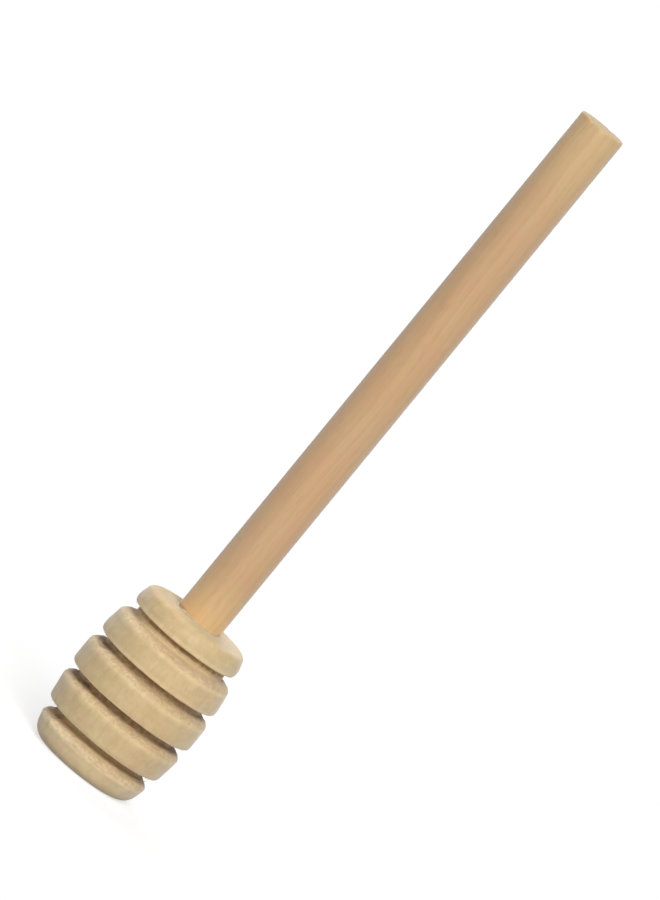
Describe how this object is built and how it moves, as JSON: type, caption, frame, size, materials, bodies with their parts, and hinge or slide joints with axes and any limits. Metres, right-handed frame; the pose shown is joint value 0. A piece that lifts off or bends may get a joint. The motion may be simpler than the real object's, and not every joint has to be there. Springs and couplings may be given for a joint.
{
  "type": "honey dipper",
  "caption": "Wooden honey dipper: a barrel-shaped turned head with deep grooves that pick up honey, glued on a plain round dowel handle.",
  "frame": {"origin": "centre of the head's flat base, on the axis", "axes": "+Z along the axis from the head to the handle's sawn end; the part is round about +Z, so +X and +Y are free"},
  "size_m": [0.0284, 0.0284, 0.1591],
  "materials": {
    "head_wood": "turned and lightly sanded pale wood, no varnish, rough in the grooves",
    "dowel_wood": "smooth sanded dowel of a warmer, redder wood, no varnish, sawn end",
    "dried_glue": "dried wood glue, pale amber"
  },
  "bodies": {
    "root": {"dipper_head": "head_wood", "handle_dowel": "dowel_wood", "socket_glue": "dried_glue"}
  },
  "joints": []
}
